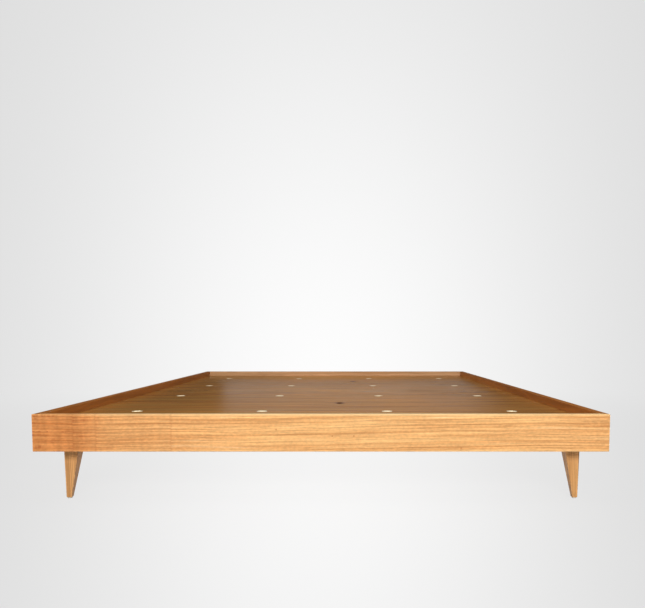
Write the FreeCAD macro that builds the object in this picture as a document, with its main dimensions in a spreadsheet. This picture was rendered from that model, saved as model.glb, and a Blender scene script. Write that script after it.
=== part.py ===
"""Low platform floor bed: a mitred oak frame on tapered legs with a recessed, vented two-panel deck.

Millimetres. X runs across the bed, +Y from the front end to the rear end, +Z up.
The origin is on the floor, under the middle of the frame.
"""
import FreeCAD, Part
import os

import Sketcher
from FreeCAD import Placement, Rotation, Vector

# ---------------------------------------------------------------- driving sizes
SIZES = (
    # the mattress that the frame takes, and the play around it on each side
    ("mattress_width", 1372),
    ("mattress_length", 1905),
    ("mattress_gap", 4),
    # rails on edge
    ("rail_thickness", 20),
    ("rail_height", 93),
    ("rail_edge_radius", 1.5),
    ("rail_clearance", 131),
    # stopped splines in the mitres
    ("spline_thickness", 4),
    ("spline_width", 18),
    ("spline_height", 60),
    ("spline_setback", 7.5),
    ("spline_clearance", 0.1),
    # deck panels
    ("deck_thickness", 15),
    ("deck_recess", 23),
    ("deck_gap", 1),
    ("deck_seam", 1),
    ("deck_edge_ease", 0.8),
    ("vent_diameter", 22),
    ("vent_edge_ease", 2),
    ("vent_column_pitch", 358),
    ("vent_row_pitch", 478),
    # ledgers, beam and bearers under the deck
    ("ledger_width", 25),
    ("beam_width", 45),
    # gussets in the corners and the pad in the middle
    ("gusset_thickness", 15),
    ("gusset_margin", 59),
    ("gusset_corner_cut", 45),
    # legs
    ("leg_inset", 53),
    ("leg_top_size", 37),
    ("leg_foot_size", 13),
    ("leg_lean", 2),
    ("leg_edge_ease", 1),
    # leg plates with a threaded boss, and the bolts that the legs turn on
    ("plate_size", 60),
    ("plate_thickness", 2.5),
    ("plate_corner_radius", 6),
    ("plate_screw_spread", 44),
    ("boss_diameter", 14),
    ("boss_height", 8),
    ("boss_clearance", 0.5),
    ("bolt_diameter", 8),
    ("bolt_depth", 30),
    ("bolt_clearance", 0.1),
    # nail-on glides under the feet
    ("glide_diameter", 11),
    ("glide_thickness", 3),
    ("glide_edge", 0.8),
    ("glide_pin_diameter", 2.4),
    ("glide_pin_length", 12),
    # steel hangers and brackets
    ("hanger_thickness", 2),
    ("hanger_seat", 40),
    ("hanger_flange", 26),
    ("hanger_drop", 6),
    ("hanger_screw_spread", 16),
    ("hanger_screw_reach", 28),
    ("bracket_wing", 30),
    ("bracket_thickness", 2),
    ("bracket_margin", 5),
    # countersunk wood screws
    ("screw_diameter", 4),
    ("screw_head_diameter", 8),
    ("screw_head_height", 2.4),
    ("screw_clearance", 0.1),
    ("ledger_screw_end", 80),
    ("ledger_screw_cover", 7),
    ("gusset_screw_cover", 16),
    ("gusset_screw_edge", 20),
    ("plate_screw_cover", 2),
    ("short_screw_cover", 6.5),
)

SIDE_LEDGER_SCREWS = 6
END_LEDGER_SCREWS = 4
VENT_COLUMNS = 4
VENT_ROWS_PER_PANEL = 2

# ---------------------------------------------------------------- worked-out sizes
INNER_WIDTH = "(Sizes.mattress_width + 2 * Sizes.mattress_gap)"
INNER_LENGTH = "(Sizes.mattress_length + 2 * Sizes.mattress_gap)"
RAIL_TOP = "(Sizes.rail_clearance + Sizes.rail_height)"
DECK_TOP = f"({RAIL_TOP} - Sizes.deck_recess)"
DECK_UNDERSIDE = f"({DECK_TOP} - Sizes.deck_thickness)"
PANEL_WIDTH = f"({INNER_WIDTH} - 2 * Sizes.deck_gap)"
PANEL_LENGTH = f"(({INNER_LENGTH} - 2 * Sizes.deck_gap - Sizes.deck_seam) / 2)"

# the gussets lie flush with the rails' undersides, and the ledgers fill the height up to the deck
LEDGER_BOTTOM = "(Sizes.rail_clearance + Sizes.gusset_thickness)"
LEDGER_HEIGHT = f"({DECK_UNDERSIDE} - {LEDGER_BOTTOM})"
LEDGER_MIDDLE = f"({LEDGER_BOTTOM} + {LEDGER_HEIGHT} / 2)"
END_LEDGER_LENGTH = f"({INNER_WIDTH} - 2 * Sizes.ledger_width)"
BEAM_LENGTH = f"({INNER_LENGTH} - 2 * Sizes.ledger_width)"
BEARER_LENGTH = f"(({END_LEDGER_LENGTH} - Sizes.beam_width) / 2)"

# a leg's outer corner and its middle, measured from the rails' inner corner
LEG_CORNER = "(Sizes.leg_inset - Sizes.rail_thickness)"
LEG_MIDDLE = f"({LEG_CORNER} + Sizes.leg_top_size / 2)"
GUSSET_SIZE = f"({LEG_CORNER} + Sizes.leg_top_size + Sizes.gusset_margin)"
PLATE_BOTTOM = "(Sizes.rail_clearance - Sizes.plate_thickness)"
LEG_LENGTH = f"({PLATE_BOTTOM} - Sizes.glide_thickness)"
FOOT_MIDDLE = "(Sizes.leg_lean + Sizes.leg_foot_size / 2)"

LEDGER_SCREW = "(Sizes.ledger_width + Sizes.rail_thickness - Sizes.ledger_screw_cover)"
GUSSET_SCREW = f"(Sizes.gusset_thickness + {LEDGER_HEIGHT} - Sizes.gusset_screw_cover)"
PLATE_SCREW = "(Sizes.plate_thickness + Sizes.gusset_thickness - Sizes.plate_screw_cover)"
SHORT_SCREW = "(Sizes.beam_width / 2 - Sizes.short_screw_cover)"

# each corner of the bed: its side in X and in Y, and the turn that points +X and +Y inwards
CORNERS = {
    "front_left": (-1, -1, 0),
    "front_right": (1, -1, 90),
    "rear_right": (1, 1, 180),
    "rear_left": (-1, 1, 270),
}
SIDES = ((-1, "left"), (1, "right"))
ENDS = ((-1, "front"), (1, "rear"))

UP = Vector(0, 0, 1)

document = FreeCAD.newDocument("floor_bed")
sheet = document.addObject("Spreadsheet::Sheet", "Sizes")
for row, (alias, number) in enumerate(SIZES, start=1):
    sheet.set(f"A{row}", alias.replace("_", " "))
    sheet.set(f"B{row}", str(number))
    sheet.setAlias(f"B{row}", alias)
document.recompute()

pieces = []


# ---------------------------------------------------------------- helpers
def measure(expression):
    """The present value of an expression over the sheet's cells."""
    return float(sheet.evalExpression(expression))


def bind_place(item, place):
    """Tie the position of an object to three expressions."""
    for axis, expression in zip("xyz", place):
        item.setExpression(f"Placement.Base.{axis}", str(expression))


def new_body(label, place, turn=0):
    """An empty body at a place, turned about the vertical."""
    body = document.addObject("PartDesign::Body", label)
    body.Label = label
    body.Placement = Placement(Vector(), Rotation(UP, turn))
    bind_place(body, place)
    return body


def new_sketch(body, level="0"):
    """A horizontal sketch at a height above the body's own origin."""
    sketch = body.newObject("Sketcher::SketchObject", f"{body.Name}_sketch")
    planes = [plane for plane in body.Origin.OriginFeatures if plane.Role == "XY_Plane"]
    sketch.AttachmentSupport = [(planes[0], "")]
    sketch.MapMode = "FlatFace"
    sketch.setExpression("AttachmentOffset.Base.z", level)
    return sketch


def hold(sketch, kind, where, expression):
    """Dimension one point of a sketch from the origin, along X or Y."""
    constraint = Sketcher.Constraint(kind, -1, 1, *where, measure(expression))
    index = sketch.addConstraint(constraint)
    sketch.setExpression(f"Constraints[{index}]", expression)


def draw_outline(sketch, corners):
    """A closed outline of straight lines through corners given as expressions."""
    points = [Vector(measure(x), measure(y), 0) for x, y in corners]
    first = sketch.GeometryCount
    count = len(points)
    for index in range(count):
        following = (index + 1) % count
        sketch.addGeometry(Part.LineSegment(points[index], points[following]))
    for index, (x, y) in enumerate(corners):
        following = (index + 1) % count
        joint = Sketcher.Constraint("Coincident", first + index, 2, first + following, 1)
        sketch.addConstraint(joint)
        hold(sketch, "DistanceX", (first + index, 1), x)
        hold(sketch, "DistanceY", (first + index, 1), y)


def draw_rectangle(sketch, left, front, right, rear):
    draw_outline(sketch, ((left, front), (right, front), (right, rear), (left, rear)))


def draw_eased_square(sketch, near, far, cut):
    """A square from the same distance in X and Y to another, with its four corners cut."""
    after = f"({near} + {cut})"
    before = f"({far} - {cut})"
    draw_outline(sketch, (
        (after, near), (before, near), (far, after), (far, before),
        (before, far), (after, far), (near, before), (near, after),
    ))


def draw_circle(sketch, x, y, diameter):
    radius = f"({diameter}) / 2"
    centre = Vector(measure(x), measure(y), 0)
    index = sketch.addGeometry(Part.Circle(centre, UP, measure(radius)))
    hold(sketch, "DistanceX", (index, 3), x)
    hold(sketch, "DistanceY", (index, 3), y)
    size = sketch.addConstraint(Sketcher.Constraint("Radius", index, measure(radius)))
    sketch.setExpression(f"Constraints[{size}]", radius)


def pad(body, sketch, height):
    feature = body.newObject("PartDesign::Pad", f"{body.Name}_pad")
    feature.Profile = sketch
    feature.setExpression("Length", height)
    return feature


def pocket_through(body, sketch):
    """Cut a sketch down through everything below it."""
    feature = body.newObject("PartDesign::Pocket", f"{body.Name}_pocket")
    feature.Profile = sketch
    feature.Type = "ThroughAll"
    feature.Reversed = False
    return feature


def ease(body, feature, kind, size, chosen):
    """Round or chamfer the edges of a feature that the test picks."""
    document.recompute()
    names = [f"Edge{n}" for n, edge in enumerate(feature.Shape.Edges, start=1) if chosen(edge)]
    eased = body.newObject(f"PartDesign::{kind}", f"{body.Name}_eased")
    eased.Base = (feature, names)
    eased.setExpression("Radius" if kind == "Fillet" else "Size", size)
    return eased


def direction(edge):
    return (edge.Vertexes[-1].Point - edge.Vertexes[0].Point).normalize()


def block(label, size, place, turn=0):
    """A square-edged piece, placed by the middle of its underside."""
    width, depth, height = size
    body = new_body(label, place, turn)
    sketch = new_sketch(body)
    draw_rectangle(sketch, f"-{width} / 2", f"-{depth} / 2", f"{width} / 2", f"{depth} / 2")
    pad(body, sketch, height)
    return body


def rod(name, diameter, length, place, heading=UP):
    cylinder = document.addObject("Part::Cylinder", name)
    cylinder.setExpression("Radius", f"({diameter}) / 2")
    cylinder.setExpression("Height", length)
    cylinder.Placement = Placement(Vector(), Rotation(UP, heading))
    bind_place(cylinder, place)
    return cylinder


def group(name, items):
    """Separate solids held together as one piece of the list."""
    bundle = document.addObject("Part::Compound", name)
    bundle.Links = items
    return bundle


def screws(name, spots, length, play="0"):
    """Countersunk screws, or the holes for them where play is given.

    A spot is the middle of the head's flat face and the way that the screw points.
    """
    solids = []
    for place, heading in spots:
        shank = f"Sizes.screw_diameter + 2 * {play}"
        solids.append(rod(f"{name}_shank", shank, f"{length} + {play}", place, heading))
        head = document.addObject("Part::Cone", f"{name}_head")
        head.setExpression("Radius1", f"Sizes.screw_head_diameter / 2 + {play}")
        head.setExpression("Radius2", f"Sizes.screw_diameter / 2 + {play}")
        head.setExpression("Height", "Sizes.screw_head_height")
        head.Placement = Placement(Vector(), Rotation(UP, heading))
        bind_place(head, place)
        solids.append(head)
    fused = document.addObject("Part::MultiFuse", name)
    fused.Shapes = solids
    return fused


def screws_and_holes(label, spots, length):
    """The screws as a finished piece, and the cutter that makes their holes."""
    finish(screws(label, spots, length), label)
    return screws(f"{label}_holes", spots, length, "Sizes.screw_clearance")


def finish(item, label, *cutters):
    """Cut the holes of a piece, name it and put it on the list of pieces."""
    for cutter in cutters:
        cut = document.addObject("Part::Cut", f"{label}_cut")
        cut.Base = item
        cut.Tool = cutter
        item = cut
    item.Label = label
    pieces.append(item)


def corner_spot(side_x, side_y, inward_x, inward_y, level):
    """A place measured inwards from the rails' inner corner."""
    return (
        f"{side_x} * ({INNER_WIDTH} / 2 - {inward_x})",
        f"{side_y} * ({INNER_LENGTH} / 2 - {inward_y})",
        level,
    )


def turned(turn, x, y):
    """A pair of expressions turned about the vertical by whole quarter turns."""
    return {
        0: (f"({x})", f"({y})"),
        90: (f"(-({y}))", f"({x})"),
        180: (f"(-({x}))", f"(-({y}))"),
        270: (f"({y})", f"(-({x}))"),
    }[turn]


def spaced(count, length, end):
    """Evenly spaced positions along a length centred on zero."""
    return [f"(({length} - 2 * {end}) * {index / (count - 1) - 0.5})" for index in range(count)]


# ---------------------------------------------------------------- fastener positions
def ledger_screw_spots():
    spots = []
    end = "Sizes.ledger_screw_end"
    for side, _ in SIDES:
        face = f"{side} * ({INNER_WIDTH} / 2 - Sizes.ledger_width)"
        for along in spaced(SIDE_LEDGER_SCREWS, INNER_LENGTH, end):
            spots.append(((face, along, LEDGER_MIDDLE), Vector(side, 0, 0)))
    for side, _ in ENDS:
        face = f"{side} * ({INNER_LENGTH} / 2 - Sizes.ledger_width)"
        for along in spaced(END_LEDGER_SCREWS, END_LEDGER_LENGTH, end):
            spots.append(((along, face, LEDGER_MIDDLE), Vector(0, side, 0)))
    return spots


def gusset_screw_spots():
    on_ledger = "Sizes.ledger_width / 2"
    far = f"({GUSSET_SIZE} - Sizes.gusset_screw_edge)"
    level = "Sizes.rail_clearance"
    spots = []
    for side_x, side_y, _ in CORNERS.values():
        for along in (LEG_MIDDLE, far):
            spots.append((corner_spot(side_x, side_y, on_ledger, along, level), UP))
            spots.append((corner_spot(side_x, side_y, along, on_ledger, level), UP))
    on_pad = f"({GUSSET_SIZE} / 2 - Sizes.gusset_screw_edge)"
    for side in (-1, 1):
        spots.append(((f"{side} * {on_pad}", "0", level), UP))
        spots.append((("0", f"{side} * {on_pad}", level), UP))
    return spots


def leg_middles(level):
    """The middle of each leg's top: the four corners, then the middle of the bed."""
    middles = [
        corner_spot(side_x, side_y, LEG_MIDDLE, LEG_MIDDLE, level)
        for side_x, side_y, _ in CORNERS.values()
    ]
    return middles + [("0", "0", level)]


def plate_screw_spots():
    reach = "Sizes.plate_screw_spread / 2"
    spots = []
    for x, y, level in leg_middles(PLATE_BOTTOM):
        for step_x in (-1, 1):
            for step_y in (-1, 1):
                spot = (f"{x} + {step_x} * {reach}", f"{y} + {step_y} * {reach}", level)
                spots.append((spot, UP))
    return spots


def hanger_screw_spots():
    thickness = "Sizes.hanger_thickness"
    spots = []
    for side_y, _ in ENDS:
        face = f"({INNER_LENGTH} / 2 - Sizes.ledger_width)"
        for side_x in (-1, 1):
            on_flange = f"{side_x} * (Sizes.beam_width / 2 + ({thickness} + Sizes.hanger_flange) / 2)"
            for step in (-1, 1):
                level = f"{LEDGER_MIDDLE} + {step} * Sizes.hanger_screw_spread / 2"
                spot = (on_flange, f"{side_y} * ({face} - {thickness})", level)
                spots.append((spot, Vector(0, side_y, 0)))
            cheek = f"{side_x} * (Sizes.beam_width / 2 + {thickness})"
            along = f"{side_y} * ({face} - Sizes.hanger_screw_reach)"
            spots.append(((cheek, along, LEDGER_MIDDLE), Vector(-side_x, 0, 0)))
    return spots


def bracket_corners():
    """The inside corners between bearers and beam or ledgers, and the way each bracket opens."""
    at_beam = "Sizes.beam_width / 2"
    at_ledger = f"({END_LEDGER_LENGTH} / 2)"
    corners = []
    for side_x, _ in SIDES:
        for side_y in (-1, 1):
            corners.append((f"{side_x} * {at_beam}", side_x, side_y))
            corners.append((f"{side_x} * {at_ledger}", -side_x, side_y))
    return corners


def bracket_screw_spots():
    thickness = "Sizes.bracket_thickness"
    out = f"({thickness} + Sizes.bracket_wing) / 2"
    spots = []
    for x, open_x, open_y in bracket_corners():
        y = f"{open_y} * Sizes.beam_width / 2"
        on_bearer = (f"{x} + {open_x} * {out}", f"{y} + {open_y} * {thickness}", LEDGER_MIDDLE)
        spots.append((on_bearer, Vector(0, -open_y, 0)))
        on_side = (f"{x} + {open_x} * {thickness}", f"{y} + {open_y} * {out}", LEDGER_MIDDLE)
        spots.append((on_side, Vector(-open_x, 0, 0)))
    return spots


# ---------------------------------------------------------------- splines in the mitres
def splines(name, play):
    """Thin strips across the four mitres, or their slots where play is given."""
    width = f"(Sizes.spline_width + 2 * {play})"
    thickness = f"(Sizes.spline_thickness + 2 * {play})"
    height = f"(Sizes.spline_height + 2 * {play})"
    level = f"{RAIL_TOP} - (Sizes.rail_height + {height}) / 2"
    strips = []
    for corner, (side_x, side_y, turn) in CORNERS.items():
        place = corner_spot(side_x, side_y, "(-Sizes.spline_setback)", "(-Sizes.spline_setback)", level)
        strips.append(block(f"{name}_{corner}", (width, thickness, height), place, turn - 45))
    return group(name, strips)


# ---------------------------------------------------------------- frame
def rail(label, inner_length, place, turn, cutters):
    """A board on edge with mitred ends: its inner face is on the local line Y = 0."""
    body = new_body(f"{label}_board", place, turn)
    outline = new_sketch(body)
    half = f"{inner_length} / 2"
    outer = f"({half} + Sizes.rail_thickness)"
    draw_outline(outline, (
        (f"-{outer}", "-Sizes.rail_thickness"),
        (outer, "-Sizes.rail_thickness"),
        (half, "0"),
        (f"-{half}", "0"),
    ))
    board = pad(body, outline, "Sizes.rail_height")
    ease(body, board, "Fillet", "Sizes.rail_edge_radius", lambda edge: abs(direction(edge).x) > 0.99)
    finish(body, label, *cutters)


def make_rails(cutters):
    level = "Sizes.rail_clearance"
    for side, name in ENDS:
        place = ("0", f"{side} * {INNER_LENGTH} / 2", level)
        rail(f"rail_{name}", INNER_WIDTH, place, 0 if side < 0 else 180, cutters)
    for side, name in SIDES:
        place = (f"{side} * {INNER_WIDTH} / 2", "0", level)
        rail(f"rail_{name}", INNER_LENGTH, place, side * 90, cutters)


def make_ledgers(own_holes, gusset_holes, hanger_holes, bracket_holes):
    middle = "Sizes.ledger_width / 2"
    for side, name in SIDES:
        place = (f"{side} * ({INNER_WIDTH} / 2 - {middle})", "0", LEDGER_BOTTOM)
        strip = block(f"ledger_{name}_strip", ("Sizes.ledger_width", INNER_LENGTH, LEDGER_HEIGHT), place)
        finish(strip, f"ledger_{name}", own_holes, gusset_holes, bracket_holes)
    for side, name in ENDS:
        place = ("0", f"{side} * ({INNER_LENGTH} / 2 - {middle})", LEDGER_BOTTOM)
        size = (END_LEDGER_LENGTH, "Sizes.ledger_width", LEDGER_HEIGHT)
        finish(block(f"ledger_{name}_strip", size, place), f"ledger_{name}",
               own_holes, gusset_holes, hanger_holes)


def make_deck():
    """Two vented panels that drop in between the rails and meet across the middle of the bed."""
    for side, name in ENDS:
        middle = f"{side} * ({PANEL_LENGTH} + Sizes.deck_seam) / 2"
        body = new_body(f"deck_panel_{name}", ("0", middle, DECK_UNDERSIDE))
        edge = new_sketch(body)
        draw_rectangle(edge, f"-{PANEL_WIDTH} / 2", f"-{PANEL_LENGTH} / 2",
                       f"{PANEL_WIDTH} / 2", f"{PANEL_LENGTH} / 2")
        pad(body, edge, "Sizes.deck_thickness")
        vents = new_sketch(body, "Sizes.deck_thickness")
        for column in range(VENT_COLUMNS):
            x = f"Sizes.vent_column_pitch * {column - (VENT_COLUMNS - 1) / 2}"
            for row in range(VENT_ROWS_PER_PANEL):
                y = f"Sizes.vent_row_pitch * {row - (VENT_ROWS_PER_PANEL - 1) / 2}"
                draw_circle(vents, x, y, "Sizes.vent_diameter")
        vented = pocket_through(body, vents)
        top = measure("Sizes.deck_thickness")
        vent = measure("Sizes.vent_diameter")
        arris = ease(body, vented, "Chamfer", "Sizes.deck_edge_ease",
                     lambda edge: edge.BoundBox.ZMin > top - 0.01 and edge.Length > 5 * vent)
        ease(body, arris, "Chamfer", "Sizes.vent_edge_ease",
             lambda edge: edge.BoundBox.ZMin > top - 0.01 and edge.Length < 4 * vent)
        finish(body, f"deck_panel_{name}")


def make_timbers(gusset_holes, hanger_holes, bracket_holes):
    """The beam down the middle and the two bearers under the seam of the deck."""
    beam = block("centre_beam_timber", ("Sizes.beam_width", BEAM_LENGTH, LEDGER_HEIGHT),
                 ("0", "0", LEDGER_BOTTOM))
    finish(beam, "centre_beam", gusset_holes, hanger_holes, bracket_holes)
    for side, name in SIDES:
        place = (f"{side} * (Sizes.beam_width + {BEARER_LENGTH}) / 2", "0", LEDGER_BOTTOM)
        bearer = block(f"cross_bearer_{name}_timber", (BEARER_LENGTH, "Sizes.beam_width", LEDGER_HEIGHT),
                       place)
        finish(bearer, f"cross_bearer_{name}", gusset_holes, bracket_holes)


def make_gussets(own_holes, plate_holes, boss_holes):
    far = GUSSET_SIZE
    near = f"({GUSSET_SIZE} - Sizes.gusset_corner_cut)"
    for corner, (side_x, side_y, turn) in CORNERS.items():
        place = corner_spot(side_x, side_y, "0", "0", "Sizes.rail_clearance")
        body = new_body(f"gusset_{corner}_board", place, turn)
        outline = new_sketch(body)
        draw_outline(outline, (("0", "0"), (far, "0"), (far, near), (near, far), ("0", far)))
        pad(body, outline, "Sizes.gusset_thickness")
        finish(body, f"gusset_{corner}", own_holes, plate_holes, boss_holes)
    square = block("centre_pad_board", (GUSSET_SIZE, GUSSET_SIZE, "Sizes.gusset_thickness"),
                   ("0", "0", "Sizes.rail_clearance"))
    finish(square, "centre_pad", own_holes, plate_holes, boss_holes)


# ---------------------------------------------------------------- steel hangers and brackets
def make_hangers(holes):
    """Stirrups on the end ledgers: a seat under the beam, two cheeks and two flanges."""
    thickness = "Sizes.hanger_thickness"
    height = f"({LEDGER_HEIGHT} + {thickness} - Sizes.hanger_drop)"
    inside = "Sizes.beam_width / 2"
    outside = f"({inside} + {thickness})"
    tip = f"({inside} + Sizes.hanger_flange)"
    seat = "Sizes.hanger_seat"
    for side, name in ENDS:
        place = ("0", f"{side} * {BEAM_LENGTH} / 2", f"{LEDGER_BOTTOM} - {thickness}")
        body = new_body(f"beam_hanger_{name}_sheet", place, 0 if side < 0 else 180)
        under = new_sketch(body)
        draw_rectangle(under, f"-{outside}", "0", outside, seat)
        pad(body, under, thickness)
        walls = new_sketch(body)
        for hand in ("", "-"):
            draw_outline(walls, (
                (f"{hand}{inside}", "0"),
                (f"{hand}{tip}", "0"),
                (f"{hand}{tip}", thickness),
                (f"{hand}{outside}", thickness),
                (f"{hand}{outside}", seat),
                (f"{hand}{inside}", seat),
            ))
        pad(body, walls, height)
        finish(body, f"beam_hanger_{name}", holes)


def make_brackets(holes):
    wing = "Sizes.bracket_wing"
    thickness = "Sizes.bracket_thickness"
    level = f"{LEDGER_BOTTOM} + Sizes.bracket_margin"
    turns = {(1, 1): 0, (-1, 1): 90, (-1, -1): 180, (1, -1): 270}
    angles = []
    for index, (x, open_x, open_y) in enumerate(bracket_corners(), start=1):
        place = (x, f"{open_y} * Sizes.beam_width / 2", level)
        body = new_body(f"bracket_{index}", place, turns[(open_x, open_y)])
        outline = new_sketch(body)
        draw_outline(outline, (
            ("0", "0"), (wing, "0"), (wing, thickness),
            (thickness, thickness), (thickness, wing), ("0", wing),
        ))
        pad(body, outline, f"{LEDGER_HEIGHT} - 2 * Sizes.bracket_margin")
        angles.append(body)
    finish(group("bracket_set", angles), "bearer_brackets", holes)


# ---------------------------------------------------------------- legs
def make_leg(name, place, turn, cutters):
    """A square leg that tapers on its inner faces; its outer corner is on the local origin."""
    body = new_body(f"leg_{name}_blank", place, turn)
    lean = "Sizes.leg_lean"
    foot = new_sketch(body)
    draw_eased_square(foot, lean, f"({lean} + Sizes.leg_foot_size)", "Sizes.leg_edge_ease")
    top = new_sketch(body, LEG_LENGTH)
    draw_eased_square(top, "0", "Sizes.leg_top_size", "Sizes.leg_edge_ease")
    taper = body.newObject("PartDesign::AdditiveLoft", f"{body.Name}_taper")
    taper.Profile = foot
    taper.Sections = [top]
    taper.Ruled = True
    finish(body, f"leg_{name}", *cutters)


def make_plate(name, place, holes):
    """A pressed plate with a threaded boss on top."""
    body = new_body(f"leg_plate_{name}_blank", place)
    size = "Sizes.plate_size / 2"
    outline = new_sketch(body)
    draw_rectangle(outline, f"-{size}", f"-{size}", size, size)
    flat = pad(body, outline, "Sizes.plate_thickness")
    ease(body, flat, "Fillet", "Sizes.plate_corner_radius", lambda edge: abs(direction(edge).z) > 0.99)
    ring = new_sketch(body)
    draw_circle(ring, "0", "0", "Sizes.boss_diameter")
    top = "Sizes.plate_thickness + Sizes.boss_height"
    pad(body, ring, top)
    bore = new_sketch(body, top)
    draw_circle(bore, "0", "0", "Sizes.bolt_diameter + 2 * Sizes.bolt_clearance")
    pocket_through(body, bore)
    finish(body, f"leg_plate_{name}", holes)


def make_glide(name, place):
    """A round nylon foot with a pin that is driven into the leg."""
    body = new_body(f"glide_{name}", place)
    disc_outline = new_sketch(body)
    draw_circle(disc_outline, "0", "0", "Sizes.glide_diameter")
    disc = pad(body, disc_outline, "Sizes.glide_thickness")
    ease(body, disc, "Chamfer", "Sizes.glide_edge", lambda edge: edge.BoundBox.ZMax < 0.01)
    pin = new_sketch(body)
    draw_circle(pin, "0", "0", "Sizes.glide_pin_diameter")
    pad(body, pin, "Sizes.glide_thickness + Sizes.glide_pin_length")
    finish(body, f"glide_{name}")


def make_legs(plate_holes):
    """Five screw-in legs with their plates, bolts and glides."""
    play = "Sizes.bolt_clearance"
    bolt_bottom = f"{PLATE_BOTTOM} - Sizes.bolt_depth"
    bolt_length = "Sizes.bolt_depth + Sizes.plate_thickness + Sizes.boss_height"
    names = list(CORNERS) + ["centre"]
    turns = [turn for _, _, turn in CORNERS.values()] + [0]
    bolts = []
    for name, turn, middle in zip(names, turns, leg_middles("0")):
        x, y, _ = middle
        bolts.append(rod(f"bolt_{name}", "Sizes.bolt_diameter", bolt_length, (x, y, bolt_bottom)))
        bolt_hole = rod(f"bolt_hole_{name}", f"Sizes.bolt_diameter + 2 * {play}",
                        f"{bolt_length} + {play}", (x, y, f"{bolt_bottom} - {play}"))
        # the leg's outer corner and its foot, a quarter turn at a time from the middle of its top
        out = turned(turn, "-Sizes.leg_top_size / 2", "-Sizes.leg_top_size / 2")
        corner = (f"{x} + {out[0]}", f"{y} + {out[1]}", "Sizes.glide_thickness")
        reach = turned(turn, FOOT_MIDDLE, FOOT_MIDDLE)
        foot = (f"{corner[0]} + {reach[0]}", f"{corner[1]} + {reach[1]}", "0")
        pin_hole = rod(f"pin_hole_{name}", f"Sizes.glide_pin_diameter + 2 * {play}",
                       f"Sizes.glide_thickness + Sizes.glide_pin_length + {play}", foot)
        make_leg(name, corner, turn, (bolt_hole, pin_hole))
        make_plate(name, (x, y, PLATE_BOTTOM), plate_holes)
        make_glide(name, foot)
    finish(group("bolt_set", bolts), "leg_bolts")


def boss_hole_cutter():
    """Clear holes through the gussets and the pad for the bosses of the leg plates."""
    diameter = "Sizes.boss_diameter + 2 * Sizes.boss_clearance"
    return group("boss_holes", [
        rod("boss_hole", diameter, "Sizes.gusset_thickness", place)
        for place in leg_middles("Sizes.rail_clearance")
    ])


# ---------------------------------------------------------------- assembly
def build():
    ledger_holes = screws_and_holes("ledger_screws", ledger_screw_spots(), LEDGER_SCREW)
    gusset_holes = screws_and_holes("gusset_screws", gusset_screw_spots(), GUSSET_SCREW)
    plate_holes = screws_and_holes("plate_screws", plate_screw_spots(), PLATE_SCREW)
    hanger_holes = screws_and_holes("hanger_screws", hanger_screw_spots(), SHORT_SCREW)
    bracket_holes = screws_and_holes("bracket_screws", bracket_screw_spots(), SHORT_SCREW)
    finish(splines("mitre_splines", "0"), "mitre_splines")
    spline_slots = splines("spline_slots", "Sizes.spline_clearance")
    make_rails((spline_slots, ledger_holes))
    make_ledgers(ledger_holes, gusset_holes, hanger_holes, bracket_holes)
    make_timbers(gusset_holes, hanger_holes, bracket_holes)
    make_gussets(gusset_holes, plate_holes, boss_hole_cutter())
    make_hangers(hanger_holes)
    make_brackets(bracket_holes)
    make_legs(plate_holes)
    make_deck()


def check_document():
    """Stop on any failed feature, any cut that removed nothing and any broken piece."""
    for item in document.Objects:
        if "Invalid" in item.State or "Error" in item.State:
            raise RuntimeError(f"{item.Label} failed: {item.State}")
        if item.TypeId == "PartDesign::Pocket":
            if item.Shape.Volume >= item.BaseFeature.Shape.Volume:
                raise RuntimeError(f"{item.Label} cut nothing")
    for piece in pieces:
        if piece.Shape.isNull() or not piece.Shape.isValid():
            raise RuntimeError(f"{piece.Label} has no valid shape")


def write_pieces():
    os.makedirs("parts", exist_ok=True)
    for piece in pieces:
        piece.Shape.exportStep(f"parts/{piece.Label}.step")
        box = piece.Shape.BoundBox
        print(f"{piece.Label:24s} solids {len(piece.Shape.Solids):3d}  "
              f"{box.XLength:8.1f} {box.YLength:8.1f} {box.ZLength:7.1f}")


build()
document.recompute()
check_document()
write_pieces()
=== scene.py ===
"""Looks of the floor bed: oiled oak rails and legs, a vented deck made darker partly with painted shade,
and the hardware below it.

Metres, in the frame of the construction: +X to the right, +Y to the rear, +Z up, floor at zero.
"""
import math

import bmesh
import bpy
from mathutils import Matrix, Vector


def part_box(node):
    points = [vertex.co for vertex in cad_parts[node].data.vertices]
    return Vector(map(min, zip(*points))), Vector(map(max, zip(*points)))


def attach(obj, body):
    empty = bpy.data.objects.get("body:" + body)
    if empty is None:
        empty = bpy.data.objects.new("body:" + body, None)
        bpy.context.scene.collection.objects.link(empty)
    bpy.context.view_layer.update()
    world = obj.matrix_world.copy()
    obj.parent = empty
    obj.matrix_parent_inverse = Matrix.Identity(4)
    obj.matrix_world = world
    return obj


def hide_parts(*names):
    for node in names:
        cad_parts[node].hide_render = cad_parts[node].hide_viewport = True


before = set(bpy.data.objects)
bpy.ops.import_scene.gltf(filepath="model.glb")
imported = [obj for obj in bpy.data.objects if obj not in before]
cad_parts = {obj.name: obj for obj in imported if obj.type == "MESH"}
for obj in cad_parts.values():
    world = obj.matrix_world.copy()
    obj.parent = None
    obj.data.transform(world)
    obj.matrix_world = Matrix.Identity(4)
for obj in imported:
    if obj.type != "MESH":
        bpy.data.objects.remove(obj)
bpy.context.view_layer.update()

CORNERS = ("front_left", "front_right", "rear_right", "rear_left")
LEG_PLACES = (*CORNERS, "centre")
LENGTHWISE_TIMBERS = ("ledger_left", "ledger_right", "centre_beam")
CROSSWISE_TIMBERS = ("ledger_front", "ledger_rear", "cross_bearer_left", "cross_bearer_right")
PLYWOOD_PADS = (*(f"gusset_{corner}" for corner in CORNERS), "centre_pad")
SCREW_SETS = ("ledger_screws", "gusset_screws", "plate_screws", "hanger_screws", "bracket_screws")
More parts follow.
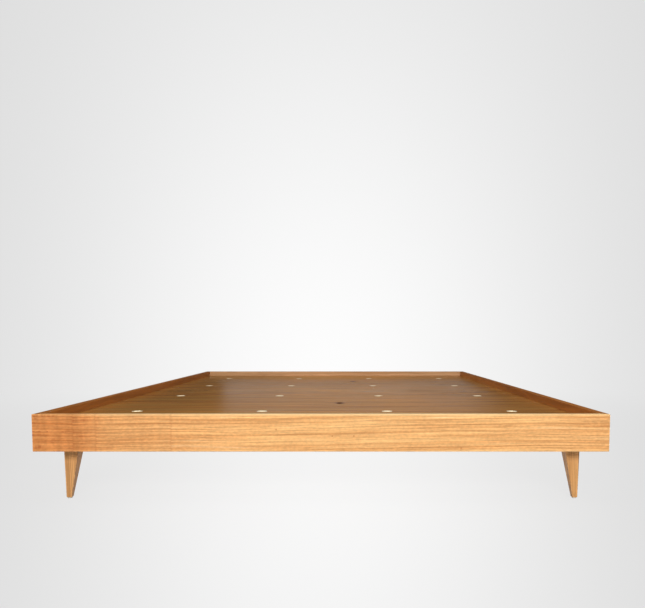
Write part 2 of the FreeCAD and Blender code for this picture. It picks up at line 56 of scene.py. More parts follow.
FORMED_STEEL = ("beam_hanger_front", "beam_hanger_rear", "bearer_brackets")
QUARTER_TURN = math.pi / 2

# ---------------------------------------------------------------- colours, linear
HONEY_OAK = (0.98, 0.565, 0.228)
HONEY_OAK_LATE = (0.56, 0.218, 0.058)
# pale streaks of the oak, also the painted highlight on the front rail's upward faces
PALE_STREAK_AND_HIGHLIGHT = (1.0, 0.680, 0.360)
PALE_ARRIS_OAK = (1.0, 0.720, 0.350)
# the short staves' red, also the painted shade towards both ends of the front rail
RED_BLUSH_AND_SHADE = (0.78, 0.555, 0.415)
PLAIN = (1.0, 1.0, 1.0)
SIDE_OAK = (0.88, 0.445, 0.158)
SIDE_OAK_LATE = (0.46, 0.185, 0.050)
# painted shade: the side rails' oak, darkened for their inner faces and tops
SHADED_SIDE_OAK = (0.62, 0.225, 0.045)
SHADED_SIDE_OAK_LATE = (0.27, 0.080, 0.016)
REAR_OAK = (0.84, 0.505, 0.265)
REAR_OAK_LATE = (0.50, 0.260, 0.110)
# the deck's veneer: its own darker tone, with painted shade for its upward face added in
DECK_OAK_WITH_SHADE = (0.82, 0.358, 0.082)
DECK_OAK_LATE_WITH_SHADE = (0.30, 0.112, 0.025)
OLIVE_STREAK = (0.60, 0.330, 0.085)
LEG_OAK = (0.80, 0.425, 0.160)
LEG_OAK_LATE = (0.32, 0.135, 0.040)
FLECK = (0.42, 0.130, 0.035)
KNOT = (0.090, 0.030, 0.002)
PORE = (0.30, 0.135, 0.045)
BIRCH_FACE = (0.70, 0.47, 0.26)
BIRCH_LIGHT = (0.98, 0.80, 0.52)
BIRCH_DARK = (0.62, 0.36, 0.16)
# bare ply inside the vents, also the painted highlight ring round each vent
BARE_PLY_AND_HALO = (1.0, 0.87, 0.60)
PINE = (0.80, 0.58, 0.32)
PINE_LATE = (0.56, 0.31, 0.12)
ZINC = (0.60, 0.62, 0.66)
ZINC_DULL = (0.36, 0.37, 0.39)
YELLOW_ZINC = (0.62, 0.52, 0.30)
NYLON = (0.66, 0.63, 0.56)

# ---------------------------------------------------------------- finishes: places and widths in metres
SIDE_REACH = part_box("rail_right")[1].x
RAIL_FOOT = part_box("rail_front")[0].z
RAIL_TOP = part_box("rail_front")[1].z
STAVE_JOINTS = (-0.610, -0.554, -0.369)
STAVE_JUMP = (0.031, 0.0011)
PIN_KNOTS = ((0.081, 0.170), (0.028, 0.170), (0.345, 0.140), (-0.110, 0.186))
LEAF_WIDTH = 0.24
LEAF_SLIDE = 3.7
FRONT_KNOT = (0.042, -0.494, 0.0)
REAR_KNOT = (0.094, 0.490, 0.0)
KNOT_SIZE = 0.0125
KNOT_SHAPE = (1.0, 0.6, 0.0)
KNOT_FLOW = 0.07
KNOT_PUSH = 0.7
# middle of the painted pool of light on the deck, across the bed
DECK_LIGHT_POOL_MIDDLE = 0.06
VENT_COLUMN_PITCH = 0.358
VENT_ROW_PITCH = 0.478
# reach of the bare ply: the hole's wall and chamfer, and a painted highlight ring beyond them on the top
# face
VENT_BARE_AND_HALO = 0.0150
RIM_SOFTNESS = 0.0001
ALONG_Y = (0.0, 0.0, -QUARTER_TURN)

# how each wood grew
RAIL_WOOD = {"Ring spacing": 0.0075, "Wander": 0.025}
FRONT_WOOD = {"Ring spacing": 0.0096, "Wander": 0.022}
DECK_WOOD = {"Ring spacing": 0.0095, "Wander": 0.035}
LEG_WOOD = {"Ring spacing": 0.0042, "Wander": 0.012}
PINE_WOOD = {"Ring spacing": 0.0062, "Wander": 0.025}
PLY_WOOD = {"Ring spacing": 0.011, "Wander": 0.08}

# how often each pattern changes in a metre: along the grain, then twice across it
BEND_SCALE = (1.4, 2.0, 2.0)
RIPPLE_SCALE = (9.0, 16.0, 16.0)
STREAK_SCALE = (1.8, 85.0, 85.0)
FIBRE_SCALE = (7.0, 420.0, 420.0)
PORE_SCALE = (18.0, 1100.0, 1100.0)
MOTTLE_SCALE = (110.0, 190.0, 190.0)
BAND_SCALE = (62.0, 2.0, 2.0)
CLUSTER_SCALE = (26.0, 62.0, 62.0)
TICK_SCALE = (150.0, 24.0, 24.0)
OLIVE_SCALE = (0.9, 17.0, 17.0)
PINE_KNOT_SCALE = (2.6, 22.0, 22.0)

# the same along X, Y and Z, for patterns that don't follow the grain
WOBBLE_SCALE = (60.0, 60.0, 60.0)
BLOTCH_SCALE = (220.0, 220.0, 900.0)
CLOUD_SCALE = (25.0, 25.0, 25.0)
ROLLED_SCALE = (900.0, 60.0, 900.0)
SCUFF_SCALE = (400.0, 400.0, 90.0)
SPANGLE_SCALE = 160.0
PLY_WOBBLE = 0.0004

# the ripple as a share of the wander, and how the rings change their width over the years
RIPPLE_SHARE = 0.22
GROWTH_SCALE = 0.4
GROWTH_CHANGE = 2.4

# gloss, wear and relief
RAIL_ROUGHNESS = 0.42
OAK_GLOSS = 0.30
DECK_GLOSS = 0.10
DECK_TINT = (1.0, 0.80, 0.60, 1.0)
RAW_WOOD_GLOSS = 0.25
EDGE_WEAR = 0.25
RAIL_ARRIS = 0.0015
LEG_ARRIS = 0.0012
STEEL_ARRIS = 0.0008
RELIEF_STRENGTH = 0.6
RAIL_RELIEF = 0.0004
LEG_RELIEF = 0.0003
PINE_RELIEF = 0.0003
PLY_RELIEF = 0.0002
NYLON_RELIEF = 0.0001
STEEL_RELIEF = 0.00005


# ---------------------------------------------------------------- node helpers
def put(tree, kind, inputs=None, **settings):
    """Add a shader node: its settings, then its inputs from values or other sockets."""
    made = tree.nodes.new(f"ShaderNode{kind}")
    for name, value in settings.items():
        setattr(made, name, value)
    for key, value in (inputs or {}).items():
        if isinstance(value, bpy.types.NodeSocket):
            tree.links.new(value, made.inputs[key])
        else:
            made.inputs[key].default_value = value
    return made


def maths(tree, operation, first, second=0.0, third=0.0, clamp=False):
    made = put(tree, "Math", {0: first, 1: second, 2: third}, operation=operation, use_clamp=clamp)
    return made.outputs[0]


def vector_maths(tree, operation, first, second=(0.0, 0.0, 0.0)):
    return put(tree, "VectorMath", {0: first, 1: second}, operation=operation).outputs[0]


def remap(tree, value, low, high, to_low=0.0, to_high=1.0, smooth=True):
    """A value taken from one range to another and held at its ends."""
    made = put(tree, "MapRange", {
        "Value": value, "From Min": low, "From Max": high, "To Min": to_low, "To Max": to_high,
    }, clamp=True)
    if smooth:
        made.interpolation_type = "SMOOTHSTEP"
    return made.outputs[0]


def noise(tree, vector, scale, detail=2.0, roughness=0.5):
    """Cloudy noise over a vector that is stretched by a scale along each axis."""
    stretched = vector_maths(tree, "MULTIPLY", vector, scale)
    made = put(tree, "TexNoise", {
        "Vector": stretched, "Scale": 1.0, "Detail": detail, "Roughness": roughness,
    })
    return made.outputs[0]


def mix(tree, share, first, second, blend="MIX"):
    """Mix two colours: by a share, or by a blend such as MULTIPLY."""
    made = put(tree, "Mix", data_type="RGBA", blend_type=blend)
    for socket, value in ((made.inputs[0], share), (made.inputs[6], first), (made.inputs[7], second)):
        if isinstance(value, bpy.types.NodeSocket):
            tree.links.new(value, socket)
        elif socket.type == "RGBA":
            socket.default_value = (*value, 1.0)
        else:
            socket.default_value = value
    return made.outputs[2]


def new_group(name, inputs, outputs):
    """An empty shader group with named inputs, each with its kind and first value, and outputs."""
    group = bpy.data.node_groups.new(name, "ShaderNodeTree")
    for label, kind, value in inputs:
        socket = group.interface.new_socket(label, in_out="INPUT", socket_type=f"NodeSocket{kind}")
        if value is not None:
            socket.default_value = value
    for label, kind in outputs:
        group.interface.new_socket(label, in_out="OUTPUT", socket_type=f"NodeSocket{kind}")
    entry = group.nodes.new("NodeGroupInput")
    leave = group.nodes.new("NodeGroupOutput")
    return group, entry.outputs, leave.inputs


def use_group(tree, group, inputs):
    return put(tree, "Group", inputs, node_tree=group).outputs


# ---------------------------------------------------------------- shared effects
def from_pith(group, place, wander):
    """Distance from the log's axis, bent a little along the board."""
    bend = maths(group, "SUBTRACT", noise(group, place, BEND_SCALE, 1.0), 0.5)
    bend = maths(group, "MULTIPLY", bend, wander)
    ripple = maths(group, "SUBTRACT", noise(group, place, RIPPLE_SCALE, 2.0), 0.5)
    ripple = maths(group, "MULTIPLY", ripple, maths(group, "MULTIPLY", wander, RIPPLE_SHARE))
    across = vector_maths(group, "MULTIPLY", place, (0.0, 1.0, 1.0))
    distance = put(group, "VectorMath", {0: across}, operation="LENGTH").outputs["Value"]
    return maths(group, "ADD", maths(group, "ADD", distance, bend), ripple)


def year_rings(group, distance, spacing):
    """How far a point is into its year, and how late its wood is. Some years are wider than others."""
    turns = maths(group, "DIVIDE", distance, spacing)
    growth = put(group, "TexNoise", {
        "W": maths(group, "MULTIPLY", turns, GROWTH_SCALE), "Scale": 1.0, "Detail": 2.0,
    }, noise_dimensions="1D").outputs[0]
    turns = maths(group, "ADD", turns, maths(group, "MULTIPLY", growth, GROWTH_CHANGE))
    phase = maths(group, "FRACT", turns)
    darkening = remap(group, phase, 0.25, 0.80)
    ending = remap(group, phase, 0.88, 1.0, 1.0, 0.0)
    late = maths(group, "MULTIPLY", darkening, ending)
    year = put(group, "TexWhiteNoise", {"W": maths(group, "FLOOR", turns)}, noise_dimensions="1D")
    contrast = remap(group, year.outputs["Value"], 0.0, 1.0, 0.5, 1.0, False)
    return phase, maths(group, "MULTIPLY", late, contrast)


def make_grain_group():
    """Sawn wood seen in the solid: the log's axis is the X axis of the vector, in metres."""
    group, given, out = new_group("sawn_grain", (
        ("Vector", "Vector", None),
        ("Ring spacing", "Float", 0.005),
        ("Wander", "Float", 0.02),
    ), (("Rings", "Float"), ("Streaks", "Float"), ("Fibre", "Float"), ("Pores", "Float"),
        ("Height", "Float")))
    distance = from_pith(group, given["Vector"], given["Wander"])
    phase, late = year_rings(group, distance, given["Ring spacing"])

    # everything finer flows with the rings
    parts = put(group, "SeparateXYZ", {0: given["Vector"]}).outputs
    flow = put(group, "CombineXYZ", {
        "X": parts["X"], "Y": distance, "Z": maths(group, "MULTIPLY", parts["Z"], 0.2),
    }).outputs[0]
    streaks = noise(group, flow, STREAK_SCALE, 4.0, 0.70)
    fibre = noise(group, flow, FIBRE_SCALE, 3.0, 0.6)
    dashes = remap(group, noise(group, flow, PORE_SCALE, 2.0, 0.6), 0.58, 0.66)
    pores = maths(group, "MULTIPLY", dashes, remap(group, phase, 0.15, 0.75, 1.0, 0.25))
    height = maths(group, "ADD", maths(group, "MULTIPLY", fibre, 0.6),
                   maths(group, "MULTIPLY", late, 0.5))
    height = maths(group, "SUBTRACT", height, maths(group, "MULTIPLY", pores, 0.8))
    made = {"Rings": late, "Streaks": streaks, "Fibre": fibre, "Pores": pores, "Height": height}
    for label, socket in made.items():
        group.links.new(socket, out[label])
    return group


def make_edge_group():
    """How near a point is to a sharp edge: 0 on flat faces, 1 on the edge itself."""
    group, given, out = new_group("worn_edges", (("Width", "Float", 0.002),), (("Edges", "Float"),))
    rounded = put(group, "Bevel", {"Radius": given["Width"]}, samples=6)
    flat = put(group, "NewGeometry")
    turn = put(group, "VectorMath", {0: rounded.outputs[0], 1: flat.outputs["Normal"]},
               operation="DOT_PRODUCT")
    edges = remap(group, turn.outputs["Value"], 0.995, 0.85)
    group.links.new(edges, out["Edges"])
    return group


def make_ply_group():
    """The cut edge of plywood: thin layers stacked in Z, every second one end grain and darker."""
    group, given, out = new_group("ply_layers", (
        ("Vector", "Vector", None),
        ("Layer", "Float", 0.00136),
    ), (("Layers", "Float"), ("Blotches", "Float")))
    height = put(group, "SeparateXYZ", {0: given["Vector"]}).outputs["Z"]
    wobble = maths(group, "MULTIPLY", noise(group, given["Vector"], WOBBLE_SCALE), PLY_WOBBLE)
    stack = maths(group, "DIVIDE", maths(group, "ADD", height, wobble), given["Layer"])
    layers = maths(group, "PINGPONG", stack, 1.0)
    group.links.new(remap(group, layers, 0.35, 0.65), out["Layers"])
    group.links.new(noise(group, given["Vector"], BLOTCH_SCALE, 3.0), out["Blotches"])
    return group


GRAIN = make_grain_group()
WORN_EDGES = make_edge_group()
PLY_LAYERS = make_ply_group()


# ---------------------------------------------------------------- materials
def new_material(name, roughness, **constants):
    """A material with one Principled shader, whose constant sockets are set on the shader."""
    material = bpy.data.materials.new(name)
    material.use_nodes = True
    shader = material.node_tree.nodes["Principled BSDF"]
    shader.inputs["Roughness"].default_value = roughness
    for label, value in constants.items():
        shader.inputs[label.replace("_", " ")].default_value = value
    return material, material.node_tree, shader


def object_place(tree, shift=(0.0, 0.0, 0.0), turn=(0.0, 0.0, 0.0)):
    """Object coordinates, turned and then shifted, so that a pattern lies along its piece."""
    coordinates = put(tree, "TexCoord")
    mapping = put(tree, "Mapping", {
        "Vector": coordinates.outputs["Object"], "Location": shift, "Rotation": turn,
    })
    return mapping.outputs[0]


def object_normal(tree):
    return put(tree, "SeparateXYZ", {0: put(tree, "TexCoord").outputs["Normal"]}).outputs


def shaded(tree, colour, shade):
    """A colour made lighter or darker by a number."""
    grey = put(tree, "CombineColor", {0: shade, 1: shade, 2: shade}).outputs[0]
    return mix(tree, 1.0, colour, grey, "MULTIPLY")


def cut(tree, place, wood):
    """The grain of a wood at a place."""
    return use_group(tree, GRAIN, {"Vector": place, **wood})


def wood_colour(tree, grain, early, late, rings, streaks, fibre, pores=0.35):
    """Early wood to late wood by rings and streaks, with the fibres and pores of the grain over it."""
    colour = mix(tree, maths(tree, "MULTIPLY", grain["Rings"], rings), early, late)
    band = remap(tree, grain["Streaks"], 0.40, 0.66)
    colour = mix(tree, maths(tree, "MULTIPLY", band, streaks), colour, late)
    shade = remap(tree, grain["Fibre"], 0.25, 0.75, 1.0 - fibre, 1.0 + fibre / 2, False)
    colour = shaded(tree, colour, shade)
    dark = mix(tree, 1.0, colour, PORE, "MULTIPLY")
    return mix(tree, maths(tree, "MULTIPLY", grain["Pores"], pores), colour, dark)


def sheen(tree, grain, least, most):
    """Roughness between two values that follows the fibres."""
    return remap(tree, grain["Fibre"], 0.2, 0.8, least, most)


def finish(tree, shader, colour, roughness, height, depth):
    """Give the shader its colour, its roughness and a shallow relief."""
    tree.links.new(colour, shader.inputs["Base Color"])
    tree.links.new(roughness, shader.inputs["Roughness"])
    bump = put(tree, "Bump", {"Height": height, "Distance": depth, "Strength": RELIEF_STRENGTH})
    tree.links.new(bump.outputs[0], shader.inputs["Normal"])


def ragged_by(tree, grain, reach):
    """A border's shift to and fro along the streaks."""
    return maths(tree, "MULTIPLY", maths(tree, "SUBTRACT", grain["Streaks"], 0.5), reach)


def ply_edge(tree, ply, contrast):
    """Light and dark plies, a little blotched."""
    edge = mix(tree, maths(tree, "MULTIPLY", ply["Layers"], contrast), BIRCH_LIGHT, BIRCH_DARK)
    return mix(tree, remap(tree, ply["Blotches"], 0.3, 0.8, 0.0, 0.3), edge, BIRCH_DARK)


# ---------------------------------------------------------------- oak rails and legs
def finish_oak(tree, shader, grain, colour, arris, depth):
    """Arrises rubbed pale, a sheen that follows the fibres, and a little relief."""
    edges = use_group(tree, WORN_EDGES, {"Width": arris})["Edges"]
    colour = mix(tree, maths(tree, "MULTIPLY", edges, EDGE_WEAR), colour, BIRCH_LIGHT)
    finish(tree, shader, colour, sheen(tree, grain, 0.36, 0.54), grain["Height"], depth)


def one_board(tree, shader, early, late, shift, turn):
    """Oiled oak on edge, cut from one board."""
    grain = cut(tree, object_place(tree, shift, turn), RAIL_WOOD)
    colour = wood_colour(tree, grain, early, late, rings=0.50, streaks=0.45, fibre=0.14)
    finish_oak(tree, shader, grain, colour, RAIL_ARRIS, RAIL_RELIEF)


def rear_oak_rail(name, shift, turn):
    """Oiled oak for the rear rail."""
    material, tree, shader = new_material(name, RAIL_ROUGHNESS, Specular_IOR_Level=OAK_GLOSS)
    one_board(tree, shader, REAR_OAK, REAR_OAK_LATE, shift, turn)
    return material


def side_oak_rail(name, shift, turn):
    """The same oak in the side rails, with painted shade on their tops and inner faces."""
    material, tree, shader = new_material(name, RAIL_ROUGHNESS, Specular_IOR_Level=OAK_GLOSS)
    aside = maths(tree, "ABSOLUTE", put(tree, "SeparateXYZ", {0: object_place(tree)}).outputs["X"])
    # painted shade: full on the inner face, fading across the upper face to none on the outer face
    outside_unshaded = remap(tree, aside, SIDE_REACH - 0.005, SIDE_REACH - 0.0005)
    early = mix(tree, outside_unshaded, SHADED_SIDE_OAK, SIDE_OAK)
    late = mix(tree, outside_unshaded, SHADED_SIDE_OAK_LATE, SIDE_OAK_LATE)
    one_board(tree, shader, early, late, shift, turn)
    return material


def stave_offset(tree, along):
    """Each stave is cut from another part of the board: the grain jumps at every joint."""
    stave = 0.0
    for joint in STAVE_JOINTS:
        stave = maths(tree, "ADD", stave, maths(tree, "GREATER_THAN", along, joint))
    return put(tree, "CombineXYZ", {
        "X": maths(tree, "MULTIPLY", stave, STAVE_JUMP[0]),
        "Z": maths(tree, "MULTIPLY", stave, STAVE_JUMP[1]),
    }).outputs[0]


def red_staves_and_end_shade(tree, along, grain):
    """Redder at both ends of the front rail: the short staves' own red, and along the board a painted
    shade that grows towards both ends.
    """
    border = maths(tree, "ADD", along, ragged_by(tree, grain, 0.20))
    staves = remap(tree, border, -0.62, -0.50, 0.55, 0.0)
    # painted shade: darker and redder towards the left and right ends, where the light falls off
    left = remap(tree, along, -0.62, 0.05, 0.45, 0.0)
    right = remap(tree, along, 0.30, 0.72, 0.0, 0.22)
    return maths(tree, "ADD", staves, maths(tree, "ADD", left, right))


def upright_bands(tree, place, red):
    """Soft lighter and darker bands across the grain, where the red and painted-shade mask is high."""
    bands = remap(tree, noise(tree, place, BAND_SCALE, 1.0), 0.30, 0.70, 0.88, 1.08, False)
    return maths(tree, "ADD", 1.0, maths(tree, "MULTIPLY", maths(tree, "SUBTRACT", bands, 1.0), red))


def dark_flecks(tree, place, grain, red):
    """Clusters of short dark flecks along the rings, where the red and painted-shade mask is high."""
    clusters = remap(tree, noise(tree, place, CLUSTER_SCALE, 2.0), 0.46, 0.60)
    ticks = remap(tree, noise(tree, place, TICK_SCALE, 1.0), 0.40, 0.60, 0.35, 1.0)
    flecks = maths(tree, "MULTIPLY", clusters, ticks)
    flecks = maths(tree, "MULTIPLY", flecks, maths(tree, "MULTIPLY", red, red))
    return maths(tree, "MULTIPLY", flecks, remap(tree, grain["Rings"], 0.1, 0.7, 0.30, 1.0))


def pale_arris_bands(tree, height):
    """The front rail's face is paler in a band below its top arris and, less, above its bottom arris."""
    above = remap(tree, height, RAIL_TOP - 0.0055, RAIL_TOP - 0.0015, 0.0, 0.55)
    below = remap(tree, height, RAIL_FOOT + 0.0015, RAIL_FOOT + 0.0045, 0.30, 0.0)
    return maths(tree, "MAXIMUM", above, below)


def pale_oak(tree, colour, place, grain):
    """Pale streaks, a painted highlight on the upward faces and a fine mottle."""
    streaks = remap(tree, grain["Streaks"], 0.44, 0.28, 0.0, 0.8)
    # painted highlight: upward faces made pale
    top = remap(tree, object_normal(tree)["Z"], 0.5, 0.9, 0.0, 0.7)
    colour = mix(tree, maths(tree, "MAXIMUM", streaks, top), colour, PALE_STREAK_AND_HIGHLIGHT)
    mottle = noise(tree, place, MOTTLE_SCALE, 2.0)
    return shaded(tree, colour, remap(tree, mottle, 0.30, 0.70, 0.88, 1.08, False))


def small_marks(tree, colour, face, along):
    """A soft dark line at each joint, and a few pin knots."""
    for joint in STAVE_JOINTS:
        beside = maths(tree, "ABSOLUTE", maths(tree, "SUBTRACT", along, joint))
        colour = mix(tree, remap(tree, beside, 0.0010, 0.0045, 0.20, 0.0), colour, FLECK)
    for knot_x, knot_z in PIN_KNOTS:
        spot = put(tree, "VectorMath", {0: face, 1: (knot_x, 0.0, knot_z)}, operation="DISTANCE")
        knot = remap(tree, spot.outputs["Value"], 0.0010, 0.0030, 0.6, 0.0)
        colour = mix(tree, knot, colour, FLECK)
    return colour


def front_oak_rail(name, shift, turn):
    """The front rail: short staves glued up at its left end, redder and flecked, then one long board."""
    material, tree, shader = new_material(name, RAIL_ROUGHNESS, Specular_IOR_Level=OAK_GLOSS)
    face = vector_maths(tree, "MULTIPLY", object_place(tree), (1.0, 0.0, 1.0))
    parts = put(tree, "SeparateXYZ", {0: face}).outputs
    along = parts["X"]
    place = vector_maths(tree, "ADD", object_place(tree, shift, turn), stave_offset(tree, along))
    grain = cut(tree, place, FRONT_WOOD)
    red = red_staves_and_end_shade(tree, along, grain)
    colour = wood_colour(tree, grain, HONEY_OAK, HONEY_OAK_LATE, rings=0.60, streaks=0.50, fibre=0.30)
    colour = pale_oak(tree, colour, place, grain)
    colour = mix(tree, pale_arris_bands(tree, parts["Z"]), colour, PALE_ARRIS_OAK)
    # the staves' red and the painted shade at the ends
    colour = mix(tree, 1.0, colour, mix(tree, red, PLAIN, RED_BLUSH_AND_SHADE), "MULTIPLY")
    colour = shaded(tree, colour, upright_bands(tree, place, red))
    colour = mix(tree, dark_flecks(tree, place, grain, red), colour, FLECK)
    colour = small_marks(tree, colour, face, along)
    finish_oak(tree, shader, grain, colour, RAIL_ARRIS, RAIL_RELIEF)
    return material


def oak_leg(name, shift):
    """The grain runs up the leg and shows as rings under the foot."""
    material, tree, shader = new_material(name, 0.45, Specular_IOR_Level=OAK_GLOSS)
    grain = cut(tree, object_place(tree, shift, (0.0, QUARTER_TURN, 0.0)), LEG_WOOD)
    colour = wood_colour(tree, grain, LEG_OAK, LEG_OAK_LATE, rings=0.75, streaks=0.45, fibre=0.18)
    finish_oak(tree, shader, grain, colour, LEG_ARRIS, LEG_RELIEF)
    return material


# ---------------------------------------------------------------- deck
def from_vent(tree, parts):
    """Distance from the middle of the nearest vent."""
    reach = []
    for axis, pitch in (("X", VENT_COLUMN_PITCH), ("Y", VENT_ROW_PITCH)):
        centred = maths(tree, "SUBTRACT", parts[axis], pitch / 2)
        reach.append(maths(tree, "WRAP", centred, pitch / 2, -pitch / 2))
    flat = put(tree, "CombineXYZ", {"X": reach[0], "Y": reach[1]}).outputs[0]
    return put(tree, "VectorMath", {0: flat}, operation="LENGTH").outputs["Value"]


def veneer_run(tree, place, away, near, leaf, shift):
    """Where the veneer is cut from: another part of the log for each leaf, and flowing round the knot."""
    side = put(tree, "SeparateXYZ", {0: away}).outputs["Y"]
    push = maths(tree, "MULTIPLY", remap(tree, near, 0.0, KNOT_FLOW, 1.0, 0.0), side)
    flow = put(tree, "CombineXYZ", {"Y": maths(tree, "MULTIPLY", push, -KNOT_PUSH)}).outputs[0]
    slide = put(tree, "CombineXYZ", {"X": maths(tree, "MULTIPLY", leaf, LEAF_SLIDE)}).outputs[0]
    along = vector_maths(tree, "ADD", vector_maths(tree, "ADD", place, flow), shift)
    return vector_maths(tree, "ADD", along, slide)


def veneer_colour(tree, grain, along, across_bed, leaf):
    """Each leaf has its own tone; olive streaks; a painted pool of light in the middle of the bed and
    painted shade towards its sides.
    """
    colour = wood_colour(tree, grain, DECK_OAK_WITH_SHADE, DECK_OAK_LATE_WITH_SHADE, rings=0.35, streaks=0.55, fibre=0.16)
    tone = put(tree, "TexWhiteNoise", {"W": leaf}, noise_dimensions="1D").outputs["Value"]
    colour = shaded(tree, colour, remap(tree, tone, 0.0, 1.0, 0.90, 1.08, False))
    olive = remap(tree, noise(tree, along, OLIVE_SCALE, 2.0), 0.48, 0.64, 0.0, 0.5)
    colour = mix(tree, olive, colour, OLIVE_STREAK)
    # painted light and shade: paler in the middle of the bed, darker towards its sides
    aside = maths(tree, "SUBTRACT", across_bed, DECK_LIGHT_POOL_MIDDLE)
    aside = maths(tree, "ABSOLUTE", maths(tree, "ADD", aside, ragged_by(tree, grain, 0.12)))
    return shaded(tree, colour, remap(tree, aside, 0.12, 0.66, 1.06, 0.74))


def round_knot(tree, colour, near):
    """A ring of late wood round a dark core. Gives the colour, and where the core is."""
    ring = remap(tree, near, KNOT_SIZE, KNOT_SIZE * 1.8, 0.6, 0.0)
    colour = mix(tree, ring, colour, DECK_OAK_LATE_WITH_SHADE)
    core = remap(tree, near, KNOT_SIZE * 0.7, KNOT_SIZE, 1.0, 0.0)
    return mix(tree, core, colour, KNOT), core


def cut_faces(tree, colour, place, grain, below, rim):
    """A plain backing veneer below, plies at the panels' edges, bare wood in the vents and a painted
    highlight ring round each vent on the top face.
    """
    ply = use_group(tree, PLY_LAYERS, {"Vector": place})
    backing = wood_colour(tree, grain, BIRCH_FACE, BIRCH_DARK,
                          rings=0.15, streaks=0.15, fibre=0.06, pores=0.1)
    bored_and_halo = mix(tree, maths(tree, "MULTIPLY", ply["Layers"], 0.08), BARE_PLY_AND_HALO, BIRCH_DARK)
    upright = remap(tree, maths(tree, "ABSOLUTE", object_normal(tree)["Z"]), 0.60, 0.40)
    colour = mix(tree, below, colour, backing)
    colour = mix(tree, upright, colour, ply_edge(tree, ply, 0.55))
    return mix(tree, rim, colour, bored_and_halo)


def deck_veneer(name, knot, shift):
    """Veneered plywood with its grain across the bed, darker than the rails partly by painted shade, and
    matt where it isn't oiled.
    """
    material, tree, shader = new_material(name, 0.36, Specular_IOR_Level=DECK_GLOSS,
                                          Specular_Tint=DECK_TINT)
    place = object_place(tree)
    parts = put(tree, "SeparateXYZ", {0: place}).outputs
    leaf = maths(tree, "FLOOR", maths(tree, "DIVIDE", parts["Y"], LEAF_WIDTH))
    away = vector_maths(tree, "SUBTRACT", place, knot)
    near = put(tree, "VectorMath", {0: vector_maths(tree, "MULTIPLY", away, KNOT_SHAPE)},
               operation="LENGTH").outputs["Value"]
    along = veneer_run(tree, place, away, near, leaf, shift)
    grain = cut(tree, along, DECK_WOOD)
    colour = veneer_colour(tree, grain, along, parts["X"], leaf)
    colour, core = round_knot(tree, colour, near)
    below = remap(tree, object_normal(tree)["Z"], -0.3, -0.9)
    # bare ply in the vents, and a painted highlight ring round each on the top face
    rim = remap(tree, from_vent(tree, parts), VENT_BARE_AND_HALO + RIM_SOFTNESS, VENT_BARE_AND_HALO - RIM_SOFTNESS)
    colour = cut_faces(tree, colour, place, grain, below, rim)
    matt = maths(tree, "MAXIMUM", maths(tree, "MAXIMUM", core, rim), below)
    rough = maths(tree, "MAXIMUM", sheen(tree, grain, 0.16, 0.28), maths(tree, "MULTIPLY", matt, 0.6))
    finish(tree, shader, colour, rough, grain["Height"], PLY_RELIEF)
    return material


# ---------------------------------------------------------------- materials under the deck
def birch_ply(name, shift):
    """Sanded plywood: a quiet face above and below, and its layers at the edges."""
    material, tree, shader = new_material(name, 0.6, Specular_IOR_Level=RAW_WOOD_GLOSS)
    place = object_place(tree, shift)
    grain = cut(tree, place, PLY_WOOD)
    face = wood_colour(tree, grain, BIRCH_FACE, BIRCH_DARK, rings=0.2, streaks=0.2, fibre=0.06, pores=0.1)
    edge = ply_edge(tree, use_group(tree, PLY_LAYERS, {"Vector": place}), 0.6)
    upright = remap(tree, maths(tree, "ABSOLUTE", object_normal(tree)["Z"]), 0.85, 0.60)
    colour = mix(tree, upright, face, edge)
    finish(tree, shader, colour, sheen(tree, grain, 0.52, 0.70), grain["Height"], PLY_RELIEF)
    return material


def planed_pine(name, shift, turn):
    """Pale planed softwood with strong rings and a few small knots."""
    material, tree, shader = new_material(name, 0.62, Specular_IOR_Level=RAW_WOOD_GLOSS)
    place = object_place(tree, shift, turn)
    grain = cut(tree, place, PINE_WOOD)
    colour = wood_colour(tree, grain, PINE, PINE_LATE, rings=0.8, streaks=0.15, fibre=0.08, pores=0.0)
    cells = put(tree, "TexVoronoi", {
        "Vector": vector_maths(tree, "MULTIPLY", place, PINE_KNOT_SCALE), "Scale": 1.0,
    })
    knots = remap(tree, cells.outputs["Distance"], 0.10, 0.19, 1.0, 0.0)
    colour = mix(tree, maths(tree, "MULTIPLY", knots, 0.75), colour, PINE_LATE)
    finish(tree, shader, colour, sheen(tree, grain, 0.55, 0.72), grain["Height"], PINE_RELIEF)
    return material


def plated_steel(name, bright, dull):
    """Zinc plate: cloudy spangle, fine rolling lines and edges rubbed bright."""
    material, tree, shader = new_material(name, 0.4, Metallic=1.0)
    place = object_place(tree)
    spangle = put(tree, "TexVoronoi", {"Vector": place, "Scale": SPANGLE_SCALE}).outputs["Color"]
    cloud = noise(tree, place, CLOUD_SCALE, 4.0)
    colour = mix(tree, remap(tree, cloud, 0.35, 0.70, 0.0, 0.7), bright, dull)
    speck = put(tree, "SeparateColor", {0: spangle}).outputs[0]
    colour = mix(tree, maths(tree, "MULTIPLY", speck, 0.22), colour, dull)
    edges = use_group(tree, WORN_EDGES, {"Width": STEEL_ARRIS})["Edges"]
    colour = mix(tree, maths(tree, "MULTIPLY", edges, 0.6), colour, bright)
    rolled = noise(tree, place, ROLLED_SCALE, 2.0)
    finish(tree, shader, colour, remap(tree, cloud, 0.3, 0.7, 0.28, 0.50), rolled, STEEL_RELIEF)
    return material


def moulded_nylon(name):
    """Off-white nylon, scuffed dull where it meets the floor."""
    material, tree, shader = new_material(name, 0.5, Specular_IOR_Level=0.4)
    scuff = noise(tree, object_place(tree), SCUFF_SCALE, 3.0)
    dirty = tuple(0.6 * channel for channel in NYLON)
    colour = mix(tree, remap(tree, scuff, 0.5, 0.8, 0.0, 0.7), NYLON, dirty)
    finish(tree, shader, colour, remap(tree, scuff, 0.3, 0.7, 0.40, 0.65), scuff, NYLON_RELIEF)
    return material


